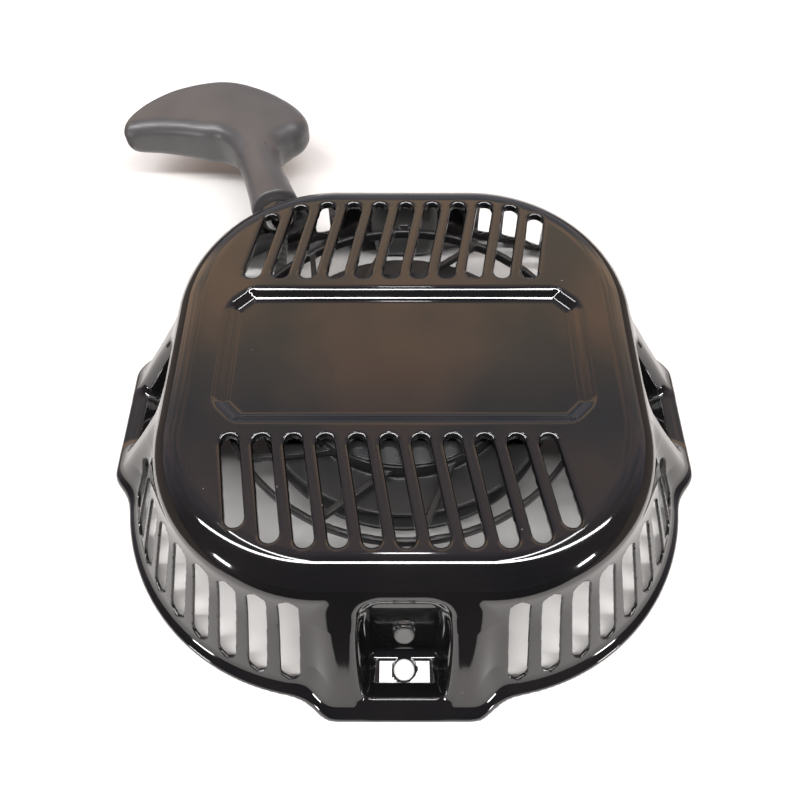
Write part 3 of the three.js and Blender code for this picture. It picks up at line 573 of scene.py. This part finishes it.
def cover_field(x, y, z):
    """The pressed sheet."""
    outer = outer_field(x, y, z)
    shell = np.maximum(outer, -outer - SHEET)
    p = np.maximum(np.abs(x), np.abs(y))
    q = np.minimum(np.abs(x), np.abs(y))
    lips = np.maximum(top_slot_field(x, y) - SHEET - 0.6, z - HEIGHT + 3.3)
    shell = rounded_max(shell, -np.maximum(lips, 30 - z), 0.3)
    shell = rounded_max(shell, -z, 0.3)
    shell = rounded_max(shell, -skirt_slot_field(x, y, z), 0.55)
    bolt = np.hypot(p - BOLT_CIRCLE, q) - BOLT_HOLE
    drain = np.hypot(q, z - DRAIN_HOLE[1]) - DRAIN_HOLE[0]
    drain = np.maximum(drain, np.maximum(85 - p, p - 99))
    u, _, radial = turret_coordinates(x, y, z)
    bore = np.maximum(radial - TURRET_BORE, -5 - u)
    holes = np.minimum(np.minimum(np.maximum(bolt, z - 8), drain), bore)
    return rounded_max(shell, -holes, 0.8)


COVER_STEP = 0.8
cover = skin("cover_shell", cover_field, (-120.5, -120.5, 0), (120.5, 120.5, HEIGHT), COVER_STEP)
finish_piece(cover, "housing", LOOKS["cover_paint"], "cover_paint", "housing_cover")


# ------------------------------------------------------------------ pull handle
GRIP_HALF_THICKNESS = 12.5
GRIP_END = (56.0, 29.0)   # reach to the left and to the right of the rope
GRIP_END_TAPER = 0.27     # share of the thickness lost at either end
GRIP_CROWN = 0.9          # thickness lost towards the far side of the grip
STEM_START = 2.3
STEM_BORE = 3.2
KNOT_POCKET = 6.6
# Plan of the grip and stem: along the pull from the guide's face, then to the left.
GRIP_OUTLINE = [
    (-12, 0), (-12, -11.4), (2, -11.2), (14, -10.2), (29, -9.6), (37.5, -11.5), (42, -18),
    (44.5, -24.5), (49.5, -28.8), (56, -29.3), (65, -25.5), (78.5, -14.5), (91.5, 3.2),
    (94.5, 27), (90, 45), (81, 57), (72.5, 57.6), (67.5, 44), (61.5, 32), (55.5, 22.5),
    (51, 14.5), (43, 10.4), (29, 9.7), (14, 10.2), (2, 11.2), (-12, 11.4),
]


def smooth_loop(points, steps=8):
    """A closed Catmull-Rom curve through the points."""
    points = np.array(points, float)
    before, after = np.roll(points, 1, 0), np.roll(points, -1, 0)
    further = np.roll(points, -2, 0)
    made = []
    for share in np.arange(steps) / steps:
        a = 2 * points + (after - before) * share
        b = (2 * before - 5 * points + 4 * after - further) * share ** 2
        c = (3 * points - before - 3 * after + further) * share ** 3
        made.append((a + b + c) / 2)
    return np.stack(made, 1).reshape(-1, 2)


def outline_field(loop, spacing=0.3, margin=14):
    """A function of plan points that gives the distance to a closed outline, read from a fine grid."""
    low, high = loop.min(0) - margin, loop.max(0) + margin
    axes = [np.arange(low[k], high[k] + spacing, spacing) for k in (0, 1)]
    u, v = np.meshgrid(*axes, indexing="ij")
    nearest = np.full(u.shape, 1e6)
    inside = np.zeros(u.shape, bool)
    for (u0, v0), (u1, v1) in zip(loop, np.roll(loop, -1, 0)):
        nearest = np.minimum(nearest, bar_field(u, v, (u0, v0), (u1, v1), 0))
        crosses = (v0 > v) != (v1 > v)
        if v1 != v0:
            inside ^= crosses & (u < (u1 - u0) * (v - v0) / (v1 - v0) + u0)
    table = np.where(inside, -nearest, nearest)

    def field(a, b):
        i = np.clip((a - low[0]) / spacing, 0, len(axes[0]) - 1.001)
        j = np.clip((b - low[1]) / spacing, 0, len(axes[1]) - 1.001)
        i0, j0 = i.astype(int), j.astype(int)
        fi, fj = i - i0, j - j0
        first = table[i0, j0] * (1 - fi) + table[i0 + 1, j0] * fi
        second = table[i0, j0 + 1] * (1 - fi) + table[i0 + 1, j0 + 1] * fi
        return first * (1 - fj) + second * fj

    return field


grip_outline = outline_field(smooth_loop(GRIP_OUTLINE))


def handle_field(x, y, z):
    """The grip and its stem, bored for the rope and open at the far side for the knot."""
    u, v, radial = turret_coordinates(x, y, z)
    plan = grip_outline(u, v)
    reach = np.where(v > 0, *GRIP_END)
    thickness = GRIP_HALF_THICKNESS * (1 - GRIP_END_TAPER * (v / reach) ** 2 * (u > 36))
    crown = GRIP_CROWN * np.clip((u - 62) / 28, 0, 1) ** 2
    edge = 6.8 + 3.6 * np.clip((50 - u) / 14, 0, 1)
    made = rounded_max(plan, np.abs(z - GUIDE[2]) - thickness + crown, edge)
    made = rounded_max(rounded_max(made, STEM_START - u, 1.2), STEM_BORE - radial, 0.6)
    return rounded_max(made, -np.maximum(radial - KNOT_POCKET, KNOT_SEAT - u), 1.0)


grip_low, grip_high = [np.array(corner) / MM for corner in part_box("handle_grip")]
grip = skin("pull_handle", handle_field, grip_low - 2, grip_high + 2, 0.9)
finish_piece(grip, "handle", LOOKS["grip_plastic"], "grip_plastic", "handle_grip")


# ------------------------------------------------------------------ reel
DRUM = (41, 44)            # inner and outer radius
DRUM_Z = (19, 47.5)
REEL_BORE = 10.3
HUB_RADIUS = 14
HUB_FOOT_Z = 15.2
REEL_FLOOR_Z = (34, 36.5)
ROPE_FLANGES_Z = (24.5, 38)
ROPE_FLANGE_RADIUS = 58.5
ROPE_FLANGE_THICKNESS = 2
HOOP = (68.4, 70.5)
HOOP_Z = (41.5, 46)
SPOKES = 12
SPOKE_START = math.radians(25)
SPOKE_SLANT = math.radians(21)
SPOKE_HALF = 1.1
RIBS = 6
RIB_HALF = 1.2
PAWL_PIVOT = 27            # distance of each pawl's pivot from the axis


def spokes_field(r, angle, z):
    """The slanted spokes between the drum and the hoop."""
    pitch = TAU / SPOKES
    turned = (angle - SPOKE_START + pitch / 2) % pitch - pitch / 2
    sx, sy = r * np.cos(turned), r * np.sin(turned)
    for shift in (0, pitch):
        end = (69.5 * math.cos(shift - SPOKE_SLANT), 69.5 * math.sin(shift - SPOKE_SLANT))
        start = (42.5 * math.cos(shift), 42.5 * math.sin(shift))
        yield np.maximum(bar_field(sx, sy, start, end, SPOKE_HALF), np.abs(z - 43.75) - 1.75)


def reel_field(x, y, z):
    """The reel: drum, hub, floor, two rope flanges, spoked hoop, ribs and pawl pins."""
    r = np.hypot(x, y)
    made = ring_field(r, z, *DRUM, *DRUM_Z, 0.6)
    made = blended_min(made, ring_field(r, z, REEL_BORE, 43, *REEL_FLOOR_Z), 1)
    made = blended_min(made, ring_field(r, z, REEL_BORE, HUB_RADIUS, HUB_FOOT_Z, 36), 1)
    for z0 in ROPE_FLANGES_Z:
        flange = ring_field(r, z, 42, ROPE_FLANGE_RADIUS, z0, z0 + ROPE_FLANGE_THICKNESS, 0.7)
        made = blended_min(made, flange, 0.8)
    hoop = ring_field(r, z, *HOOP, *HOOP_Z, 0.7)
    angle = np.arctan2(y, x)
    for spoke in spokes_field(r, angle, z):
        hoop = blended_min(hoop, spoke, 0.8)
    made = blended_min(made, hoop, 1)
    half_pitch = TAU / RIBS / 2
    rib_angle = (angle + half_pitch) % (2 * half_pitch) - half_pitch
    rib = np.maximum(np.abs(r * np.sin(rib_angle)) - RIB_HALF, np.maximum(13 - r, r - 42))
    made = blended_min(made, np.maximum(rib, np.maximum(20 - z, z - 35)), 0.8)
    for side in (-PAWL_PIVOT, PAWL_PIVOT):
        at_pivot = np.hypot(x - side, y)
        made = blended_min(made, ring_field(at_pivot, z, -6, 6, 19, 35), 0.8)
        made = np.minimum(made, ring_field(at_pivot, z, -3.5, 3.5, 10, 20, 0.3))
    return made


REEL_STEP = 0.95
reel = skin("rope_reel_moulding", reel_field, (-71, -71, 9.8), (71, 71, 48), REEL_STEP)
finish_piece(reel, "reel", LOOKS["reel_plastic"], "reel_plastic", "rope_reel")


# ------------------------------------------------------------------ rope
def swept(path, radius, ring, sides=24, relief=0.09):
    """Points and triangles of a round braid laid along a path (mm), with rounded ends."""
    path = np.asarray(path, float)
    along = np.concatenate([[0], np.cumsum(np.linalg.norm(np.diff(path, axis=0), axis=1))])
    reach = np.linspace(0, along[-1], max(int(along[-1] / ring), 4))
    middle = np.stack([np.interp(reach, along, path[:, k]) for k in range(3)], 1)
    tangent = np.gradient(middle, axis=0)
    tangent /= np.linalg.norm(tangent, axis=1, keepdims=True)
    side = np.cross(tangent[0], (0.31, 0.17, 0.93))
    sides_at = []
    for ahead in tangent:
        side = side - ahead * (side @ ahead)
        side = side / np.linalg.norm(side)
        sides_at.append(side)
    first = np.array(sides_at)
    second = np.cross(tangent, first)
    angle = TAU * np.arange(sides) / sides
    lay = reach[:, None] * TAU / 6.5
    weave = np.cos(5 * angle[None] + lay) * np.cos(5 * angle[None] - lay)
    from_end = np.minimum(reach, along[-1] - reach)[:, None] / radius
    ends = np.sqrt(np.clip(1 - (1 - np.clip(from_end, 0, 1)) ** 2, 0.02, 1))
    across = radius * (1 + relief * weave) * ends
    points = middle[:, None] + across[..., None] * (
        np.cos(angle)[None, :, None] * first[:, None] + np.sin(angle)[None, :, None] * second[:, None])
    count = len(reach)
    i, j = np.meshgrid(np.arange(count - 1), np.arange(sides), indexing="ij")
    a, b = i * sides + j, i * sides + (j + 1) % sides
    quads = np.stack([a, b, b + sides, a + sides], -1).reshape(-1, 4)
    triangles = [quads[:, [0, 1, 2]], quads[:, [0, 2, 3]]]
    rim = np.arange(sides)
    low, high = count * sides, count * sides + 1
    triangles.append(np.stack([np.roll(rim, -1), rim, np.full(sides, low)], -1))
    last = rim + (count - 1) * sides
    triangles.append(np.stack([last, np.roll(last, -1), np.full(sides, high)], -1))
    return np.concatenate([points.reshape(-1, 3), middle[[0, -1]]]), np.concatenate(triangles)


def rope_object(name, *parts):
    """One object from several swept lengths."""
    points, faces, total = [], [], 0
    for part_points, part_faces in parts:
        points.append(part_points)
        faces.append(part_faces + total)
        total += len(part_points)
    return mesh_object(name, np.concatenate(points), np.concatenate(faces))


def knot_path(centre, axis, across, size, depth):
    """An overhand knot pulled tight, its two ends on the axis."""
    axis, across = np.array(axis, float), np.array(across, float)
    third = np.cross(axis, across)
    t = np.linspace(0, TAU, 120, endpoint=False)[:, None]
    loops = size * ((np.sin(t) + 2 * np.sin(2 * t)) * across + (np.cos(t) - 2 * np.cos(2 * t)) * third)
    return np.array(centre) + loops - depth * np.sin(3 * t) * axis


def on_reel(radius, degrees, z):
    """A point at a radius and an angle round the reel's axis."""
    return [radius * math.cos(math.radians(degrees)), radius * math.sin(math.radians(degrees)), z]


def eased(value, start, end):
    """0 before start and 1 after end, with a smooth rise between."""
    share = min(max((value - start) / (end - start), 0), 1)
    return share * share * (3 - 2 * share)


KNOT_ANGLE = 75            # degrees from +X of the knot hole through the drum
KNOT_Z = 29.5
INNER_LAYER = 46.6         # radii of the two layers of rope
OUTER_LAYER = 51.5
LAYER_STEP = 4.9
SIDE_STEP = 5.6            # from one turn to the next within a layer
GUIDE_INLET = GUIDE - 9 * PULL
INLET_DISTANCE = math.hypot(GUIDE_INLET[0], GUIDE_INLET[1])
INLET_ANGLE = math.atan2(GUIDE_INLET[1], GUIDE_INLET[0])
# Where the rope leaves the drum on the tangent to the guide, in degrees from +X.
LEAVE_ANGLE = math.degrees(INLET_ANGLE + math.acos(OUTER_LAYER / INLET_DISTANCE))
COIL_SWEEP = KNOT_ANGLE + 4 * 360 - LEAVE_ANGLE
LEAVE = np.array(on_reel(OUTER_LAYER, LEAVE_ANGLE, 32.5))
RING = 0.75


def coil_path():
    """From the knot hole onto the drum: two turns, a step outwards, then the rest coming back."""
    path = [on_reel(37.5, KNOT_ANGLE, KNOT_Z), on_reel(41, KNOT_ANGLE, KNOT_Z)]
    path += [on_reel(44.6, 73.5, 29.4), on_reel(46.3, 70, 29.3)]
    for wound in range(8, int(COIL_SWEEP) + 1, 3):
        z = 29.2 + SIDE_STEP * eased(wound, 300, 360) - SIDE_STEP * eased(wound, 1020, 1080)
        z += 3.3 * eased(wound, COIL_SWEEP - 70, COIL_SWEEP)
        radius = INNER_LAYER + LAYER_STEP * eased(wound, 660, 720)
        path.append(on_reel(radius, KNOT_ANGLE - wound, z))
    return path


coil = rope_object("wound_rope", swept(coil_path(), ROPE_RADIUS, RING, 20))
finish_piece(coil, "reel", LOOKS["rope_fibre"], "rope_fibre", "rope_coil")

run_path = [LEAVE + (GUIDE_INLET - LEAVE) * share for share in (0, 0.3, 0.6, 0.86)]
run_path += [GUIDE + PULL * u for u in (-7.5, -4, 0.9)]
run = rope_object("rope_to_guide", swept(run_path, ROPE_RADIUS, 0.6, 28))
finish_piece(run, "housing", LOOKS["rope_fibre"], "rope_fibre", "rope_run")

pulled_path = [GUIDE + PULL * 1.2, GUIDE + PULL * (KNOT_SEAT + 3)]
pulled = rope_object("pulled_rope", swept(pulled_path, ROPE_RADIUS, 0.25, 20))
pulled.data.materials.append(LOOKS["rope_fibre"])
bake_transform(pulled, "housing", "handle", GUIDE * MM + PULL * 0.002, GUIDE * MM + PULL * 0.066)
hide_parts("rope_in_handle")

knot_loops = knot_path(GUIDE + PULL * 78.6, PULL, PULL_SIDE, 1.05, 2.6)
knot_tail = [GUIDE + PULL * u + PULL_SIDE * v for u, v in ((80, 1), (84, 2), (88, 2.4))]
knot = rope_object("handle_knot", swept(np.concatenate([knot_loops, knot_loops[:1]]), 2.3, 0.6),
                   swept(knot_tail, 2.2, 0.6))
finish_piece(knot, "handle", LOOKS["rope_fibre"], "rope_fibre", "rope_knot")

outward = np.array(on_reel(1, KNOT_ANGLE, 0))
inner_middle = np.array(on_reel(34.8, KNOT_ANGLE, KNOT_Z))
inner_loops = knot_path(inner_middle, outward, np.array([0, 0, 1.0]), 0.72, 2.0)
inner_tail = [on_reel(32, KNOT_ANGLE, KNOT_Z), on_reel(38.5, KNOT_ANGLE, KNOT_Z)]
inner_knot = rope_object("drum_knot", swept(np.concatenate([inner_loops, inner_loops[:1]]), 2.0, 0.6),
                         swept(inner_tail, 2.1, 0.6))
finish_piece(inner_knot, "reel", LOOKS["rope_fibre"], "rope_fibre", "reel_knot")


# ------------------------------------------------------------------ metal pieces
def refined(node, width):
    """A CAD piece with every true edge broken by a small round, on the body that it belongs to."""
    source = frame["nodes"][node]
    mesh = source.data.copy()
    mesh.transform(source.matrix_world)
    shape = bmesh.new()
    shape.from_mesh(mesh)
    bmesh.ops.remove_doubles(shape, verts=shape.verts[:], dist=1e-6)
    bmesh.ops.dissolve_limit(shape, angle_limit=math.radians(0.5), verts=shape.verts[:], edges=shape.edges[:])
    sharp = [e for e in shape.edges if len(e.link_faces) == 2 and e.calc_face_angle(0) > math.radians(35)]
    bmesh.ops.bevel(shape, geom=sharp, offset=width * MM, segments=2, profile=0.5, affect="EDGES",
                    clamp_overlap=True)
    bmesh.ops.triangulate(shape, faces=shape.faces[:])
    shape.to_mesh(mesh)
    shape.free()
    mesh.polygons.foreach_set("use_smooth", np.ones(len(mesh.polygons), bool))
    mesh.set_sharp_from_angle(angle=math.radians(33))
    made = bpy.data.objects.new(f"{node}_finished", mesh)
    bpy.context.scene.collection.objects.link(made)
    return made


# Each carried-over piece with its material and the width of its rounded edges.
REFINED = {
    "centre_post": ("post_steel", 0.3),
    "reel_bush": ("bush_bronze", 0.2),
    "thrust_washer": ("post_steel", 0.2),
    "centre_bolt": ("zinc_steel", 0.45),
    "bolt_washer": ("zinc_steel", 0.2),
    "spring_cover": ("cover_disc", 0.2),
    "recoil_spring": ("spring_steel", 0.12),
    "pawl_1": ("pawl_steel", 0.35),
    "pawl_2": ("pawl_steel", 0.35),
    "pawl_spring_1": ("wire_steel", 0.2),
    "pawl_spring_2": ("wire_steel", 0.2),
    "ratchet_guide": ("zinc_steel", 0.3),
    "friction_spring": ("wire_steel", 0.25),
    "rope_guide": ("guide_steel", 0.3),
    "grip_reinforcement": ("post_steel", 0.2),
}
for node, (look, width) in REFINED.items():
    finish_piece(refined(node, width), body_of(frame["nodes"][node])[0], LOOKS[look], look, node)


# ------------------------------------------------------------------ floor, light and camera
STUDIO_REACH = 3.0         # metres from the axis to every outer edge of the floor
FLOOR_HEIGHT = -0.0004     # just under the rim, so that the two faces don't coincide
CARD_HEIGHT = 0.002
FRONT_CARD_EDGE = -0.183   # the dark card lies in front of the cover's rim
SIDE_CARD_EDGE = 0.158
# Colours of the painted-shade sheets, which show only in reflections and not to the camera.
PAINTED_SHADE_BLACK = (0.01, 0.01, 0.01)
PAINTED_SHADE_BROWN = (0.09, 0.075, 0.065)


def lamp(name, place, target, size, power, colour=(1, 1, 1), roll=0):
    """A rectangular lamp aimed at a point; metres, watts and degrees."""
    data = bpy.data.lights.new(name, "AREA")
    data.shape = "RECTANGLE"
    data.size, data.size_y = size
    data.energy = power
    data.color = colour
    made = bpy.data.objects.new(name, data)
    made.location = place
    aim = (Vector(target) - Vector(place)).to_track_quat("-Z", "Y")
    made.rotation_euler = (aim @ Quaternion((0, 0, 1), math.radians(roll))).to_euler()
    bpy.context.scene.collection.objects.link(made)
    return made


def card(name, x0, x1, y0, y1, height, colour):
    """A level sheet of the studio, in metres."""
    corners = [(x0, y0, height), (x1, y0, height), (x1, y1, height), (x0, y1, height)]
    made = mesh_object(name, np.array(corners) / MM, [[0, 1, 2, 3]])
    look = Look(name)
    look.join(look.ramp(look.noise(3, 2), [(0.3, [0.98 * c for c in colour]), (0.7, colour)]),
              look.shader.inputs["Base Color"])
    look.set(Roughness=0.9, Specular_IOR_Level=0.1)
    made.data.materials.append(look.material)
    return made


def painted_shade_card(name, x0, x1, y0, y1, colour, darkens=False):
    """Painted shade: a dark sheet that only shows in reflections; with `darkens`, in diffuse light as well.
    """
    made = card(name, x0, x1, y0, y1, CARD_HEIGHT, colour)
    made.visible_camera = False
    made.visible_diffuse = darkens
    made.visible_shadow = False
    made.visible_transmission = False
    return made


def room():
    """The floor, the dark cards that the paint mirrors as painted shade, and the lamps."""
    far = STUDIO_REACH
    card("studio_floor", -far, far, -far, far, FLOOR_HEIGHT, (0.62, 0.61, 0.60))
    # Painted shade seen only in reflections: a black sheet in front of the cover and brown sheets at either
    # side, lying over a floor that the camera sees white.
    painted_shade_card("painted_shade_front", -far, far, -far, FRONT_CARD_EDGE, PAINTED_SHADE_BLACK, darkens=True)
    painted_shade_card("painted_shade_left", -far, -SIDE_CARD_EDGE, FRONT_CARD_EDGE, far, PAINTED_SHADE_BROWN)
    painted_shade_card("painted_shade_right", SIDE_CARD_EDGE, far, FRONT_CARD_EDGE, far, PAINTED_SHADE_BROWN)
    lamp("strip_light", (0, -0.55, 1.5), (0, 0, 0.03), (4.4, 0.13), 85, (1.0, 0.99, 0.98))
    lamp("overhead_spot", (0, 0.167, 1.5), (0, -0.10, 0), (0.12, 0.07), 0.9)
    for side in (-1, 1):
        lamp(f"diagonal_{side}", (side * 0.515, -0.206, 1.5), (side * 0.515, -0.206, 0), (0.07, 0.70), 4.5,
             roll=-45 * side)
        lamp(f"low_side_{side}", (side * 1.2, -0.95, 0.10), (0, -0.05, 0.05), (0.22, 0.1), 4)


# What the paint mirrors from front to back, as (position, colour).
SKY_STOPS = [
    (0.40, (0.05, 0.045, 0.05)),
    (0.60, (0.26, 0.23, 0.26)),
    (0.74, (0.40, 0.33, 0.31)),
    (0.79, (0.86, 0.60, 0.42)),
    (0.87, (1.0, 0.73, 0.50)),
    (0.91, (0.36, 0.33, 0.33)),
    (0.99, (0.34, 0.34, 0.38)),
]
SKY_STRENGTH = 1.9
BACKDROP = (0.55, 0.55, 0.55, 1)  # what the camera itself sees past the floor


def fill_ramp(ramp, stops):
    """Sets a colour ramp's stops, given as (position, colour)."""
    first, *inner, last = stops
    for element, (position, colour) in zip(ramp.elements, (first, last)):
        element.position = position
        element.color = (*colour, 1)
    for position, colour in inner:
        element = ramp.elements.new(position)
        element.color = (*colour, 1)


def sky():
    """The room around the studio, seen in reflections and as soft light."""
    world = bpy.data.worlds.new("room")
    bpy.context.scene.world = world
    world.use_nodes = True
    tree = world.node_tree
    background = tree.nodes["Background"]
    place = tree.nodes.new("ShaderNodeTexCoord")
    split = tree.nodes.new("ShaderNodeSeparateXYZ")
    tree.links.new(place.outputs["Generated"], split.inputs[0])
    ramp = tree.nodes.new("ShaderNodeValToRGB")
    fill_ramp(ramp.color_ramp, SKY_STOPS)
    shifted = tree.nodes.new("ShaderNodeMapRange")
    shifted.inputs["From Min"].default_value = -1
    tree.links.new(split.outputs["Y"], shifted.inputs["Value"])
    tree.links.new(shifted.outputs["Result"], ramp.inputs["Fac"])
    path = tree.nodes.new("ShaderNodeLightPath")
    seen = tree.nodes.new("ShaderNodeMix")
    seen.data_type = "RGBA"
    tree.links.new(path.outputs["Is Camera Ray"], seen.inputs["Factor"])
    blotches = tree.nodes.new("ShaderNodeTexNoise")
    blotches.inputs["Scale"].default_value = 7
    blotches.inputs["Detail"].default_value = 5
    tree.links.new(place.outputs["Generated"], blotches.inputs["Vector"])
    uneven = tree.nodes.new("ShaderNodeValToRGB")
    fill_ramp(uneven.color_ramp, [(0.38, (0.62, 0.74, 0.84)), (0.6, (1.1, 1.02, 1.0))])
    tree.links.new(blotches.outputs["Fac"], uneven.inputs["Fac"])
    patchy = tree.nodes.new("ShaderNodeMix")
    patchy.data_type = "RGBA"
    patchy.blend_type = "MULTIPLY"
    patchy.inputs["Factor"].default_value = 1
    tree.links.new(ramp.outputs["Color"], patchy.inputs["A"])
    tree.links.new(uneven.outputs["Color"], patchy.inputs["B"])
    tree.links.new(patchy.outputs["Result"], seen.inputs["A"])
    seen.inputs["B"].default_value = BACKDROP
    tree.links.new(seen.outputs["Result"], background.inputs["Color"])
    background.inputs["Strength"].default_value = SKY_STRENGTH


def camera():
    """The view of the object from the front and above."""
    data = bpy.data.cameras.new("camera")
    data.lens = 33.03
    data.sensor_width = 36
    data.shift_x = -0.0052
    made = bpy.data.objects.new("camera", data)
    made.location = (0, -0.1542, 0.2800)
    made.rotation_euler = (math.radians(30.68), 0, 0)
    bpy.context.scene.collection.objects.link(made)
    bpy.context.scene.camera = made


room()
sky()
camera()
bpy.context.scene.view_settings.view_transform = "Standard"
